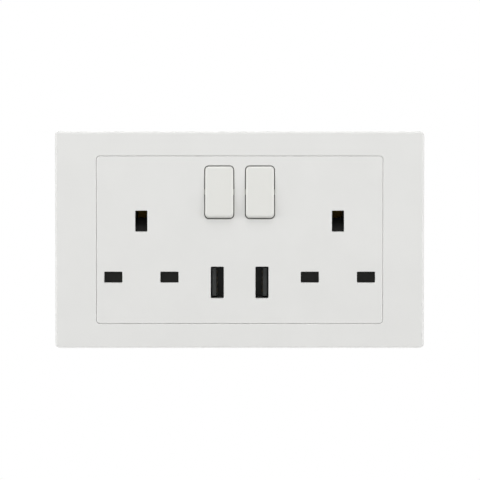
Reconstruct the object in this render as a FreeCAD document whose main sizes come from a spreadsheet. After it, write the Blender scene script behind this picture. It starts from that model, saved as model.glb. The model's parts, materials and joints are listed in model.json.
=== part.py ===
import FreeCAD, Part
import math
import os
from types import SimpleNamespace

import Sketcher
from FreeCAD import Placement, Rotation, Vector

# Twin switched socket outlet with two USB charging ports, sizes in millimetres.
# X runs to the right, Z up and Y into the wall. The wall face is y = 0, so a height
# above the wall is -y. The origin is midway between the two wall fixing slots.

SIZES = [
    # Frame
    ("plate_width", 146.0, "width of the plate"),
    ("plate_height", 86.0, "height of the plate"),
    ("plate_depth", 9.0, "front face above the wall"),
    ("plate_corner", 1.6, "corner radius of the plate seen from the front"),
    ("plate_edge", 0.9, "rounding of the plate's front edge"),
    ("frame_wall", 2.0, "wall of the frame"),
    ("opening_width", 113.4, "opening in the frame"),
    ("opening_height", 66.6, "opening in the frame"),
    ("opening_corner", 1.5, "corner radius of the opening"),
    ("lip_wall", 1.4, "wall of the lip round the opening"),
    ("lip_depth", 3.0, "depth of the lip from the front face"),
    ("seam_gap", 0.1, "gap between the frame and the front plate"),
    ("seam_round", 0.3, "rounding of both edges of the seam"),
    ("clip_spacing", 84.0, "between the clips of one side"),
    ("clip_width", 10.0, "width of a clip"),
    ("clip_arm", 1.4, "thickness of a clip's arm"),
    ("clip_row", 36.2, "middle of a clip's arm from the plate's middle"),
    ("clip_barb", 0.7, "catch of a clip's barb"),
    ("clip_play", 0.3, "clearance round a clip"),
    ("clip_tip", 0.4, "clip's tip above the wall"),
    ("barb_length", 1.2, "length of a clip's barb"),
    ("notch_width", 8.0, "width of the screwdriver notch under the frame"),
    ("notch_height", 1.2, "height of the screwdriver notch"),
    # Front plate
    ("face_wall", 2.4, "thickness of the front face"),
    ("skirt_wall", 2.15, "thickness of the skirt"),
    ("flange_thick", 3.0, "thickness of the fixing flange"),
    ("flange_play", 1.0, "gap between the flange and the frame's wall"),
    ("flange_corner", 2.0, "corner radius of the flange"),
    ("fixing_pitch", 120.6, "between the two wall fixing slots"),
    ("fixing_slot_width", 4.2, "width of a fixing slot"),
    ("fixing_slot_length", 7.0, "length of a fixing slot"),
    ("socket_margin", 17.8, "middle of a socket from the opening's side"),
    ("pin_pitch", 22.23, "live to neutral, and that row to earth"),
    ("pin_row", 14.8, "live and neutral row below the plate's middle"),
    ("live_slot_width", 7.2, "width of a live or neutral slot"),
    ("live_slot_height", 4.4, "height of a live or neutral slot"),
    ("earth_slot_width", 4.8, "width of an earth slot"),
    ("earth_slot_height", 8.4, "height of an earth slot"),
    ("slot_corner", 0.35, "corner radius of the pin slots"),
    ("slot_edge", 0.25, "rounding of the pin slots' front edges"),
    ("boss_width", 6.0, "diameter of a screw boss"),
    ("boss_thread", 3.0, "threaded hole in a screw boss"),
    ("boss_thread_depth", 4.0, "depth of the threaded hole"),
    ("bearing_back", 5.0, "back of the rocker bearings above the wall"),
    ("bearing_height", 5.2, "height of a rocker bearing"),
    ("bearing_width", 2.4, "width of an outer rocker bearing"),
    ("rail_width", 1.2, "width of a shutter rail"),
    ("rail_top", 2.5, "upper end of the shutter rails"),
    ("spring_post_width", 2.2, "diameter of the shutter springs' posts"),
    ("spring_post_length", 2.5, "length of the shutter springs' posts"),
    # Rockers
    ("rocker_pitch", 16.1, "between the middles of the two rockers"),
    ("rocker_centre", 18.9, "rockers' pivot above the plate's middle"),
    ("rocker_width", 11.2, "width of a rocker"),
    ("rocker_reach", 10.4, "radius of a rocker's ends about its pivot"),
    ("rocker_corner", 1.5, "corner radius of a rocker"),
    ("rocker_edge", 0.9, "rounding of a rocker's face"),
    ("rocker_side_gap", 0.3, "gap beside a rocker"),
    ("rocker_end_gap", 0.2, "least gap at a rocker's ends"),
    ("rocker_pivot_depth", 2.2, "pivot behind the front face"),
    ("rocker_rise", 1.3, "rocker's face above the plate at mid throw"),
    ("rocker_back", 1.4, "rocker's rim behind its pivot"),
    ("rocker_throw", 12.0, "full tilt of a rocker in degrees"),
    ("rocker_wall", 1.6, "wall of a rocker"),
    ("trunnion_width", 2.2, "diameter of a rocker's trunnions"),
    ("trunnion_length", 1.5, "length of a trunnion"),
    ("trunnion_play", 0.1, "clearance round a trunnion"),
    ("stem_width", 5.6, "diameter of a rocker's stem"),
    ("stem_length", 9.8, "stem's end behind the pivot"),
    ("stem_bore", 3.6, "bore for the plunger"),
    ("stem_bore_top", 1.0, "end of the bore in front of the pivot"),
    ("plunger_play", 0.1, "clearance round a plunger"),
    ("plunger_length", 8.5, "length of a plunger"),
    ("plunger_round", 1.0, "rounding of a plunger's tip"),
    ("plunger_gap", 0.15, "plunger's tip to the moving contact at mid throw"),
    ("plunger_spring_wall", 0.5, "wire of the plunger springs"),
    ("plunger_spring_play", 0.1, "clearance round the plunger springs"),
    # Middle plate
    ("middle_front", 2.2, "front of the middle plate above the wall"),
    ("middle_thick", 1.8, "thickness of the middle plate"),
    ("middle_play", 0.2, "clearance round the middle plate"),
    ("line_pin_width", 6.35, "width of a plug's live or neutral pin"),
    ("pin_thick", 4.0, "thickness of a plug's pins"),
    ("earth_pin_height", 8.0, "height of a plug's earth pin"),
    ("pin_play", 0.1, "clearance round a plug's pins in the middle plate"),
    ("stem_hole_width", 8.0, "hole for a rocker's stem"),
    ("stem_hole_height", 9.0, "hole for a rocker's stem"),
    ("keeper_height", 2.0, "height of the ribs that keep the trunnions in"),
    # Shutters
    ("shutter_travel", 5.2, "travel of a shutter"),
    ("shutter_play", 0.15, "clearance before and behind a shutter"),
    ("shutter_cover", 0.55, "shutter's overlap round the live and neutral slots"),
    ("shutter_stem", 8.0, "width of a shutter's stem"),
    ("shutter_side_play", 0.2, "clearance between a shutter's stem and its rails"),
    ("shutter_spring_wall", 0.5, "wire of the shutter springs"),
    ("shutter_spring_play", 0.2, "clearance between a shutter spring and its posts"),
    # Rear housing
    ("housing_depth", 26.0, "back of the housing behind the wall face"),
    ("housing_rim", 2.0, "housing's rim above the wall face"),
    ("housing_wall", 1.6, "wall of the housing"),
    ("housing_play", 0.25, "clearance between the housing and the skirt"),
    ("housing_corner", 3.0, "corner radius of the housing"),
    ("pin_reach", 9.2, "room for a plug's live and neutral pins behind the wall face"),
    ("housing_edge", 1.2, "rounding of the housing's back edge"),
    ("column_width", 7.0, "diameter of a screw column"),
    ("upper_screw_margin", 9.2, "upper housing screws from the opening's side"),
    ("upper_screw_height", 26.0, "upper housing screws above the middle"),
    ("lower_screw_spacing", 39.0, "between the two lower housing screws"),
    ("lower_screw_drop", 26.2, "lower housing screws below the middle"),
    ("screw_width", 2.9, "diameter of a housing screw"),
    ("screw_play", 0.2, "clearance round a housing screw"),
    ("screw_length", 16.0, "length of a housing screw under its head"),
    ("screw_seat", 10.0, "housing screws' heads behind the wall face"),
    ("screw_head", 5.6, "diameter of a housing screw's head"),
    ("screw_head_height", 2.0, "height of a housing screw's head"),
    ("screw_head_play", 0.4, "clearance round a housing screw's head"),
    ("recess_width", 0.9, "width of a housing screw's cross recess"),
    ("recess_length", 3.2, "length of a housing screw's cross recess"),
    ("recess_depth", 1.1, "depth of a screw's recess"),
    # Conductors
    ("strip_thick", 0.8, "thickness of the brass strips"),
    ("strip_width", 3.2, "width of the brass strips"),
    ("neutral_plane", 10.0, "neutral strip behind the wall face"),
    ("live_plane", 12.4, "live strips behind the wall face"),
    ("earth_plane", 14.8, "earth strip behind the wall face"),
    ("contact_grip", 3.7, "gap between a contact's jaws"),
    ("contact_mouth", 4.0, "contacts' mouths behind the wall face"),
    ("contact_flare", 0.6, "flare of a contact's mouth"),
    ("contact_flare_length", 1.5, "length of the flare"),
    ("contact_width", 4.8, "width of a live or neutral contact"),
    ("earth_contact_width", 6.4, "width of an earth contact"),
    ("neutral_run", 27.0, "neutral strip below the middle, under the board"),
    ("neutral_step", 20.6, "neutral strip below the middle, beside the board"),
    ("neutral_turn", 13.8, "neutral strip's steps from the middle"),
    ("live_run", 13.3, "live strips' cross run above the middle"),
    ("live_turn", 13.5, "live strips' down run from the middle"),
    ("earth_run", 7.0, "earth strip above the middle"),
    ("earth_strip_width", 5.0, "width of the earth strip"),
    ("feed_tail_end", 7.0, "end of the live feed's tail below the middle"),
    ("fulcrum_height", 2.6, "moving contacts' axis in front of the live strip"),
    ("fulcrum_radius", 0.8, "rounding of a fulcrum"),
    ("fulcrum_width", 4.4, "width of a fulcrum"),
    ("seesaw_play", 0.05, "clearance between a moving contact and its fulcrum"),
    ("seesaw_width", 4.6, "width of a moving contact"),
    ("seesaw_length", 15.4, "length of a moving contact"),
    ("seesaw_tilt", 22.0, "full tilt of a moving contact in degrees"),
    ("seesaw_ear", 0.6, "thickness of a moving contact's ears"),
    ("button_reach", 6.0, "contact buttons from the fulcrum"),
    ("button_width", 3.0, "diameter of the contact buttons"),
    ("moving_button_height", 0.8, "height of the moving buttons"),
    ("fixed_button_height", 1.2, "height of the fixed buttons"),
    # Terminals
    ("terminal_width", 8.0, "width of a terminal"),
    ("terminal_height", 9.0, "height of a terminal"),
    ("terminal_depth", 6.8, "depth of a terminal"),
    ("terminal_inset", 3.2, "terminals' outer ends inside the housing's edge"),
    ("wire_bore", 4.4, "wire hole through a terminal"),
    ("terminal_tail", 3.0, "diameter of a terminal's tail"),
    ("terminal_screw", 3.9, "diameter of a terminal screw"),
    ("terminal_screw_play", 0.05, "clearance round a terminal screw"),
    ("terminal_screw_head", 5.8, "diameter of a terminal screw's head"),
    ("terminal_head_height", 1.8, "height of a terminal screw's head"),
    ("terminal_head_gap", 0.3, "terminal screw's head off the terminal"),
    ("driver_slot", 0.9, "width of a terminal screw's slot"),
    ("well_play", 1.2, "room beside a terminal in its well"),
    ("well_wall", 1.5, "wall of a terminal well"),
    ("well_floor", 1.4, "floor of a terminal well"),
    ("strip_clearance", 0.4, "housing's wells off the brass strips"),
    ("tail_play", 0.2, "clearance round a terminal's tail"),
    ("neutral_terminal_margin", 18.2, "neutral terminal from the opening's left side"),
    ("earth_terminal_spacing", 60.0, "between the two earth terminals"),
    # Charging ports
    ("usb_pitch", 17.7, "between the middles of the two ports"),
    ("usb_drop", 16.9, "ports' middle below the plate's middle"),
    ("usb_mouth_width", 5.25, "port opening in the front plate"),
    ("usb_mouth_height", 12.6, "port opening in the front plate"),
    ("usb_mouth_corner", 0.45, "corner radius of the port opening"),
    ("usb_inner_width", 5.12, "inside width of a receptacle"),
    ("usb_inner_height", 12.5, "inside height of a receptacle"),
    ("usb_can_wall", 0.3, "wall of a receptacle's can"),
    ("usb_can_play", 0.25, "clearance round a can in the middle plate"),
    ("usb_can_gap", 0.1, "can's mouth behind the front plate's face wall"),
    ("usb_tongue_thick", 1.84, "thickness of a tongue"),
    ("usb_tongue_width", 11.1, "width of a tongue"),
    ("usb_tongue_gap", 0.6, "narrow gap beside a tongue"),
    ("usb_tongue_bevel", 0.4, "bevel along a tongue's tip"),
    ("usb_tongue_inset", 1.1, "tongue's tip behind the can's mouth"),
    ("usb_base", 5.0, "depth of the block behind a tongue"),
    ("usb_base_play", 0.05, "clearance of the block in the can"),
    ("usb_contact_width", 1.0, "width of a charging contact"),
    ("usb_contact_thick", 0.25, "thickness of a charging contact"),
    ("usb_contact_sink", 0.18, "charging contacts let into the tongue"),
    ("usb_contact_play", 0.05, "clearance round a charging contact"),
    ("usb_contact_inset", 1.6, "charging contacts' ends behind the tongue's tip"),
    ("usb_contact_inner", 1.0, "inner contacts from the middle"),
    ("usb_contact_outer", 3.5, "outer contacts from the middle"),
    ("board_front", 8.4, "board's front behind the wall face"),
    ("board_thick", 1.6, "thickness of the board"),
    ("board_width", 27.0, "width of the board"),
    ("board_top", 3.0, "board's upper edge below the middle"),
    ("board_bottom", 24.9, "board's lower edge below the middle"),
    ("board_hole_play", 0.15, "clearance of the contacts in the board"),
    ("coil_width", 9.0, "width of the transformer's coil"),
    ("core_width", 13.0, "width of the transformer's core"),
    ("core_height", 11.0, "height of the transformer's core"),
    ("core_depth", 5.0, "depth of the transformer's core"),
    ("core_leg", 1.9, "outer leg of the transformer's core"),
    ("coil_depth", 10.0, "depth of the transformer's coil"),
    ("transformer_left", 5.4, "transformer left of the middle"),
    ("transformer_drop", 15.6, "transformer below the middle"),
    ("input_can_width", 8.0, "diameter of the input capacitor"),
    ("input_can_length", 11.5, "length of the input capacitor"),
    ("input_can_drop", 19.8, "input capacitor below the middle"),
    ("output_can_width", 6.3, "diameter of the output capacitor"),
    ("output_can_length", 9.0, "length of the output capacitor"),
    ("output_can_drop", 11.6, "output capacitor below the middle"),
    ("capacitor_right", 7.6, "capacitors right of the middle"),
    ("chip_width", 3.9, "width of the controller chip"),
    ("chip_height", 4.9, "height of the controller chip"),
    ("chip_thick", 1.5, "thickness of the controller chip"),
    ("live_pin_width", 1.2, "diameter of the board's live pin"),
    ("live_pin_drop", 5.0, "board's live pin below the middle"),
]

doc = FreeCAD.newDocument("TwinSocket")
sheet = doc.addObject("Spreadsheet::Sheet", "Sizes")
for row, (alias, number, note) in enumerate(SIZES, 1):
    sheet.set(f"A{row}", note)
    sheet.set(f"B{row}", str(number))
    sheet.setAlias(f"B{row}", alias)
doc.recompute()


class Size:
    """A length with its expression, so that arithmetic on lengths stays bound to the sheet."""

    def __init__(self, text, value):
        self.text = text
        self.value = value

    def __add__(self, other):
        other = as_size(other)
        return Size(f"({self.text} + {other.text})", self.value + other.value)

    def __sub__(self, other):
        other = as_size(other)
        return Size(f"({self.text} - {other.text})", self.value - other.value)

    def __mul__(self, factor):
        return Size(f"({self.text} * ({factor}))", self.value * factor)

    def __truediv__(self, divisor):
        return Size(f"({self.text} / {divisor})", self.value / divisor)

    def __neg__(self):
        return Size(f"(-{self.text})", -self.value)

    __radd__ = __add__
    __rmul__ = __mul__


def as_size(length):
    return length if isinstance(length, Size) else Size(repr(float(length)), float(length))


s = SimpleNamespace(**{alias: Size(f"Sizes.{alias}", float(getattr(sheet, alias))) for alias, _, _ in SIZES})

# Lengths worked out from the sheet, used by more than one piece
zero = Size("0", 0.0)
OVERRUN = 1  # how far a cut runs past an open edge
socket_pitch = s.opening_width - s.socket_margin * 2
upper_screw_x = s.opening_width / 2 - s.upper_screw_margin
neutral_terminal_x = s.neutral_terminal_margin - s.opening_width / 2
insert_width = s.opening_width - s.seam_gap * 2
insert_height = s.opening_height - s.seam_gap * 2
cavity_width = insert_width - s.skirt_wall * 2
cavity_height = insert_height - s.skirt_wall * 2
face_back = s.plate_depth - s.face_wall
pivot_height = s.plate_depth - s.rocker_pivot_depth
middle_back = s.middle_front - s.middle_thick
housing_width = cavity_width - s.housing_play * 2
housing_height = cavity_height - s.housing_play * 2
inner_width = housing_width - s.housing_wall * 2
inner_height = housing_height - s.housing_wall * 2
earth_centre = s.pin_pitch - s.pin_row
seesaw_axis = s.live_plane - s.fulcrum_height
seesaw_back = s.fulcrum_radius + s.seesaw_play
plunger_tip = seesaw_axis - seesaw_back - s.strip_thick - s.plunger_gap + pivot_height
board_back = s.board_front + s.board_thick
can_front = face_back - s.usb_can_gap
LEFT, RIGHT = -1, 1
screw_points = [
    (-upper_screw_x, s.upper_screw_height),
    (upper_screw_x, s.upper_screw_height),
    (s.lower_screw_spacing / -2, -s.lower_screw_drop),
    (s.lower_screw_spacing / 2, -s.lower_screw_drop),
]


def socket_centre(side):
    return socket_pitch / 2 * side


def live_x(side):
    return socket_centre(side) + s.pin_pitch / 2


def neutral_x(side):
    return socket_centre(side) - s.pin_pitch / 2


def bind(feature, name, length):
    feature.setExpression(name, as_size(length).text)


def new_body(name):
    return doc.addObject("PartDesign::Body", name)


def sketch_on(body, plane, offset):
    """A sketch on the body's own plane: XZ is seen from the front, XY from above, YZ from the right."""
    sketch = body.newObject("Sketcher::SketchObject", f"{body.Name}_sketch")
    support = next(f for f in body.Origin.OriginFeatures if f.Role == f"{plane}_Plane")
    sketch.AttachmentSupport = (support, [""])
    sketch.MapMode = "FlatFace"
    bind(sketch, "AttachmentOffset.Base.z", offset)
    return sketch


def hold(sketch, kind, item, end, length):
    length = as_size(length)
    index = sketch.addConstraint(Sketcher.Constraint(kind, item, end, length.value))
    bind(sketch, f"Constraints[{index}]", length)


def hold_radius(sketch, item, radius):
    index = sketch.addConstraint(Sketcher.Constraint("Radius", item, radius.value))
    bind(sketch, f"Constraints[{index}]", radius)


def polygon(sketch, points):
    """A closed outline with each corner held where the sizes put it."""
    corners = [(as_size(x), as_size(y)) for x, y in points]
    ends = [Vector(x.value, y.value, 0) for x, y in corners]
    sides = [sketch.addGeometry(Part.LineSegment(ends[i - 1], ends[i])) for i in range(len(ends))]
    for i, side in enumerate(sides):
        sketch.addConstraint(Sketcher.Constraint("Coincident", sides[i - 1], 2, side, 1))
        hold(sketch, "DistanceX", side, 2, corners[i][0])
        hold(sketch, "DistanceY", side, 2, corners[i][1])


def box_outline(sketch, left, right, low, high):
    polygon(sketch, [(left, low), (right, low), (right, high), (left, high)])


def centred_box(sketch, x, y, width, height):
    box_outline(sketch, x - width / 2, x + width / 2, y - height / 2, y + height / 2)


def round_box(sketch, x, y, width, height, radius):
    """A rectangle about a point, with rounded corners."""
    left, right = x - width / 2, x + width / 2
    low, high = y - height / 2, y + height / 2
    x0, x1, y0, y1, r = left.value, right.value, low.value, high.value, radius.value
    middles = [(x1 - r, y0 + r), (x1 - r, y1 - r), (x0 + r, y1 - r), (x0 + r, y0 + r)]
    runs = [
        ((x0 + r, y0), (x1 - r, y0)),
        ((x1, y0 + r), (x1, y1 - r)),
        ((x1 - r, y1), (x0 + r, y1)),
        ((x0, y1 - r), (x0, y0 + r)),
    ]
    lines = []
    arcs = []
    for i, (start, end) in enumerate(runs):
        lines.append(sketch.addGeometry(Part.LineSegment(Vector(*start, 0), Vector(*end, 0))))
        circle = Part.Circle(Vector(*middles[i], 0), Vector(0, 0, 1), r)
        turn = (i - 1) * math.pi / 2
        arcs.append(sketch.addGeometry(Part.ArcOfCircle(circle, turn, turn + math.pi / 2)))
    for i in range(4):
        sketch.addConstraint(Sketcher.Constraint("Tangent", lines[i], 2, arcs[i], 1))
        sketch.addConstraint(Sketcher.Constraint("Tangent", arcs[i], 2, lines[(i + 1) % 4], 1))
        sketch.addConstraint(Sketcher.Constraint(("Horizontal", "Vertical")[i % 2], lines[i]))
    for arc in arcs[1:]:
        sketch.addConstraint(Sketcher.Constraint("Equal", arcs[0], arc))
    hold_radius(sketch, arcs[0], radius)
    hold(sketch, "DistanceY", lines[0], 1, low)
    hold(sketch, "DistanceX", lines[1], 1, right)
    hold(sketch, "DistanceY", lines[2], 1, high)
    hold(sketch, "DistanceX", lines[3], 1, left)


def long_slot(sketch, x, y, length, width):
    """A slot with round ends that runs along the sketch's x."""
    half = (length - width) / 2
    ends = [x + half, x - half]
    r = width.value / 2
    arcs = []
    for i, end in enumerate(ends):
        circle = Part.Circle(Vector(end.value, y.value, 0), Vector(0, 0, 1), r)
        start = math.pi * (i - 0.5)
        arcs.append(sketch.addGeometry(Part.ArcOfCircle(circle, start, start + math.pi)))
    lines = []
    for side in (1, -1):
        start = Vector(ends[0].value * (side == 1) + ends[1].value * (side == -1), y.value + r * side, 0)
        end = Vector(ends[1].value * (side == 1) + ends[0].value * (side == -1), y.value + r * side, 0)
        lines.append(sketch.addGeometry(Part.LineSegment(start, end)))
    for i in range(2):
        sketch.addConstraint(Sketcher.Constraint("Tangent", arcs[i], 2, lines[i], 1))
        sketch.addConstraint(Sketcher.Constraint("Tangent", lines[i], 2, arcs[1 - i], 1))
        hold(sketch, "DistanceX", arcs[i], 3, ends[i])
    sketch.addConstraint(Sketcher.Constraint("Horizontal", lines[0]))
    hold(sketch, "DistanceY", arcs[0], 3, y)
    hold_radius(sketch, arcs[0], width / 2)


def disc(sketch, x, y, width):
    x, y = as_size(x), as_size(y)
    circle = sketch.addGeometry(Part.Circle(Vector(x.value, y.value, 0), Vector(0, 0, 1), width.value / 2))
    hold(sketch, "DistanceX", circle, 3, x)
    hold(sketch, "DistanceY", circle, 3, y)
    hold_radius(sketch, circle, width / 2)


def pad(body, sketch, length):
    """Adds material from the sketch along its normal: towards the front, the top or the right."""
    feature = body.newObject("PartDesign::Pad", f"{body.Name}_pad")
    feature.Profile = sketch
    bind(feature, "Length", length)
    sketch.Visibility = False
    return feature


def pocket(body, sketch, length):
    """Cuts from the sketch against its normal: towards the wall, the bottom or the left."""
    feature = body.newObject("PartDesign::Pocket", f"{body.Name}_pocket")
    feature.Profile = sketch
    bind(feature, "Length", length)
    sketch.Visibility = False
    return feature


def slab(body, back, front, draw, *outline):
    """A pad between two heights above the wall. draw puts the outline in the sketch."""
    sketch = sketch_on(body, "XZ", back)
    draw(sketch, *outline)
    return pad(body, sketch, as_size(front) - back)


def well(body, back, front, draw, *outline):
    """A cut between two heights above the wall."""
    sketch = sketch_on(body, "XZ", front)
    draw(sketch, *outline)
    return pocket(body, sketch, as_size(front) - back)


def each(sketch, draw, outlines):
    """Draws the same kind of outline several times in one sketch."""
    for outline in outlines:
        draw(sketch, *outline)


def side_pad(body, left, right, points):
    """A pad along X of an outline given as height above the wall and Z."""
    sketch = sketch_on(body, "YZ", left)
    polygon(sketch, [(-as_size(height), z) for height, z in points])
    return pad(body, sketch, as_size(right) - left)


def fillet(body, radius, pick):
    """Rounds the edges that pick chooses."""
    doc.recompute()
    base = body.Tip
    edges = [f"Edge{i}" for i, edge in enumerate(base.Shape.Edges, 1) if pick(edge)]
    feature = body.newObject("PartDesign::Fillet", f"{body.Name}_round")
    feature.Base = (base, edges)
    bind(feature, "Radius", radius)
    return feature


def at_height(edge, height):
    """Whether the whole edge lies at one height above the wall."""
    box = edge.BoundBox
    return abs(box.YMin + height.value) < 1e-4 and abs(box.YMax + height.value) < 1e-4


def within(edge, x, z, width, height):
    """Whether the edge lies inside a rectangle seen from the front."""
    box = edge.BoundBox
    across = abs(box.Center.x - x.value) < width.value / 2 + 0.2
    return across and abs(box.Center.z - z.value) < height.value / 2 + 0.2


def place(body, x, y, z):
    bind(body, "Placement.Base.x", x)
    bind(body, "Placement.Base.y", y)
    bind(body, "Placement.Base.z", z)


def turn(body, axis, angle):
    body.Placement = Placement(Vector(0, 0, 0), Rotation(axis, as_size(angle).value))
    bind(body, "Placement.Rotation.Angle", angle)


def group(name, members):
    compound = doc.addObject("Part::Compound", name)
    compound.Links = members
    return compound


nodes = {}

# Outer frame: a shell with a lip round its opening, and four clips on its back
frame = new_body("outer_frame")
slab(frame, zero, s.plate_depth, round_box, zero, zero, s.plate_width, s.plate_height, s.plate_corner)
fillet(frame, s.plate_edge, lambda edge: at_height(edge, s.plate_depth))
hollow = sketch_on(frame, "XZ", s.plate_depth - s.frame_wall)
centred_box(hollow, zero, zero, s.plate_width - s.frame_wall * 2, s.plate_height - s.frame_wall * 2)
lip_width = s.opening_width + s.lip_wall * 2
lip_height = s.opening_height + s.lip_wall * 2
round_box(hollow, zero, zero, lip_width, lip_height, s.opening_corner + s.lip_wall)
pocket(frame, hollow, s.plate_depth - s.frame_wall)
lip_back = s.plate_depth - s.lip_depth
well(frame, zero, lip_back, round_box, zero, zero, lip_width, lip_height, s.opening_corner + s.lip_wall)
well(frame, zero, s.plate_depth, round_box, zero, zero, s.opening_width, s.opening_height, s.opening_corner)
opening = (zero, zero, s.opening_width, s.opening_height)
fillet(frame, s.seam_round, lambda edge: at_height(edge, s.plate_depth) and within(edge, *opening))
arms = []
for side in (LEFT, RIGHT):
    for level in (-1, 1):
        arms.append((s.clip_spacing / 2 * side, s.clip_row * level, s.clip_width, s.clip_arm))
slab(frame, s.clip_tip, s.plate_depth - s.frame_wall, each, centred_box, arms)
barb_front = s.clip_tip + s.barb_length
for side in (LEFT, RIGHT):
    barbs = sketch_on(frame, "YZ", s.clip_spacing / 2 * side - s.clip_width / 2)
    for level in (-1, 1):
        foot = (s.clip_row + s.clip_arm / 2) * level
        buried = s.clip_row * level
        catch = (s.clip_row + s.clip_arm / 2 + s.clip_barb) * level
        outline = [(-s.clip_tip, buried), (-s.clip_tip, foot), (-barb_front, catch), (-barb_front, buried)]
        polygon(barbs, outline)
    pad(frame, barbs, s.clip_width)
notch = sketch_on(frame, "XZ", s.notch_height)
edge_low = s.plate_height / -2
box_outline(notch, s.notch_width / -2, s.notch_width / 2, edge_low - 1, edge_low + s.frame_wall)
pocket(frame, notch, s.notch_height)
nodes["outer_frame"] = frame

# Front plate: face, skirt and fixing flange in one moulding
front = new_body("front_plate")
flange_width = s.plate_width - (s.frame_wall + s.flange_play) * 2
flange_height = s.plate_height - (s.frame_wall + s.flange_play) * 2
slab(front, zero, s.flange_thick, round_box, zero, zero, flange_width, flange_height, s.flange_corner)
insert_corner = s.opening_corner - s.seam_gap
slab(front, zero, s.plate_depth, round_box, zero, zero, insert_width, insert_height, insert_corner)
fillet(front, s.seam_round, lambda edge: at_height(edge, s.plate_depth))
well(front, zero, face_back, round_box, zero, zero, cavity_width, cavity_height, s.housing_corner)

# Pin slots, switch openings and port openings
slots = {
    "live": [
        (x(side), -s.pin_row, s.live_slot_width, s.live_slot_height)
        for side in (LEFT, RIGHT)
        for x in (live_x, neutral_x)
    ],
    "earth": [
        (socket_centre(side), earth_centre, s.earth_slot_width, s.earth_slot_height) for side in (LEFT, RIGHT)
    ],
}
for outlines in slots.values():
    well(front, face_back, s.plate_depth, each, round_box, [(*o, s.slot_corner) for o in outlines])
aperture_width = s.rocker_width + s.rocker_side_gap * 2
aperture_height = (s.rocker_reach + s.rocker_end_gap) * 2
aperture_corner = s.rocker_corner + s.rocker_side_gap
rocker_x = {side: s.rocker_pitch / 2 * side for side in (LEFT, RIGHT)}
apertures = [(rocker_x[side], s.rocker_centre, aperture_width, aperture_height) for side in (LEFT, RIGHT)]
well(front, face_back, s.plate_depth, each, round_box, [(*o, aperture_corner) for o in apertures])
usb_x = {side: s.usb_pitch / 2 * side for side in (LEFT, RIGHT)}
mouths = [(usb_x[side], -s.usb_drop, s.usb_mouth_width, s.usb_mouth_height) for side in (LEFT, RIGHT)]
well(front, face_back, s.plate_depth, each, round_box, [(*o, s.usb_mouth_corner) for o in mouths])
openings = slots["live"] + slots["earth"] + apertures + mouths
fillet(
    front,
    s.slot_edge,
    lambda edge: at_height(edge, s.plate_depth) and any(within(edge, *o) for o in openings),
)

# Screw bosses behind the face
slab(front, s.middle_front, face_back, each, disc, [(x, z, s.boss_width) for x, z in screw_points])
thread_top = s.middle_front + s.boss_thread_depth
well(front, s.middle_front, thread_top, each, disc, [(x, z, s.boss_thread) for x, z in screw_points])

# Bearings for the rockers, with one groove across all three
bearing_x = rocker_x[RIGHT] + aperture_width / 2
bearing_low = s.rocker_centre - s.bearing_height / 2
bearing_high = s.rocker_centre + s.bearing_height / 2
web = rocker_x[RIGHT] - aperture_width / 2
bearings = [
    (-web, web, bearing_low, bearing_high),
    (bearing_x, bearing_x + s.bearing_width, bearing_low, bearing_high),
    (-bearing_x - s.bearing_width, -bearing_x, bearing_low, bearing_high),
]
slab(front, s.bearing_back, face_back, each, box_outline, bearings)
groove_radius = s.trunnion_width / 2 + s.trunnion_play
groove_end = rocker_x[RIGHT] + s.rocker_width / 2 + s.trunnion_length + s.trunnion_play
groove = sketch_on(front, "YZ", groove_end)
box_outline(
    groove,
    -pivot_height,
    -s.bearing_back,
    s.rocker_centre - groove_radius,
    s.rocker_centre + groove_radius,
)
pocket(front, groove, groove_end * 2)
seat = sketch_on(front, "YZ", groove_end)
disc(seat, -pivot_height, s.rocker_centre, groove_radius * 2)
pocket(front, seat, groove_end * 2)

# Shutter rails, and posts for the shutter springs
wing_top = s.live_slot_height / 2 + s.shutter_cover - s.pin_row
wing_low = -(s.live_slot_height / 2) - s.shutter_cover - s.pin_row
shutter_back = s.middle_front + s.shutter_play
shutter_front = face_back - s.shutter_play
shutter_middle = (shutter_back + shutter_front) / 2
rail_reach = s.shutter_stem / 2 + s.shutter_side_play
rails = []
for side in (LEFT, RIGHT):
    for hand in (-1, 1):
        near = socket_centre(side) + rail_reach * hand
        far = socket_centre(side) + (rail_reach + s.rail_width) * hand
        rails.append((min(near, far, key=lambda x: x.value), max(near, far, key=lambda x: x.value)))
rail_outlines = [(left, right, wing_top + s.shutter_play, s.rail_top) for left, right in rails]
slab(front, shutter_back, face_back, each, box_outline, rail_outlines)
posts = sketch_on(front, "XY", cavity_height / -2 - s.skirt_wall / 2)
for side in (LEFT, RIGHT):
    disc(posts, socket_centre(side), -shutter_middle, s.spring_post_width)
pad(front, posts, s.skirt_wall / 2 + s.spring_post_length)

# Fixing slots and clip windows in the flange
fixings = [
    (s.fixing_pitch / 2 * side, zero, s.fixing_slot_length, s.fixing_slot_width) for side in (LEFT, RIGHT)
]
well(front, zero, s.flange_thick, each, long_slot, fixings)
windows = []
rebates = []
for side in (LEFT, RIGHT):
    for level in (-1, 1):
        x = s.clip_spacing / 2 * side
        inner = (s.clip_row - s.clip_arm / 2 - s.clip_play) * level
        outer = (s.clip_row + s.clip_arm / 2 + s.clip_play) * level
        deep = (s.clip_row + s.clip_arm / 2 + s.clip_barb + s.clip_play) * level
        left = x - s.clip_width / 2 - s.clip_play
        right = x + s.clip_width / 2 + s.clip_play
        windows.append((left, right, inner, outer))
        rebates.append((left, right, inner, deep))
well(front, zero, s.flange_thick, each, box_outline, windows)
well(front, zero, barb_front + s.clip_play, each, box_outline, rebates)
nodes["front_plate"] = front

# Rockers: a hollow cap with cylindrical ends, two trunnions and a bored stem
face_rise = s.rocker_pivot_depth + s.rocker_rise


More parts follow.
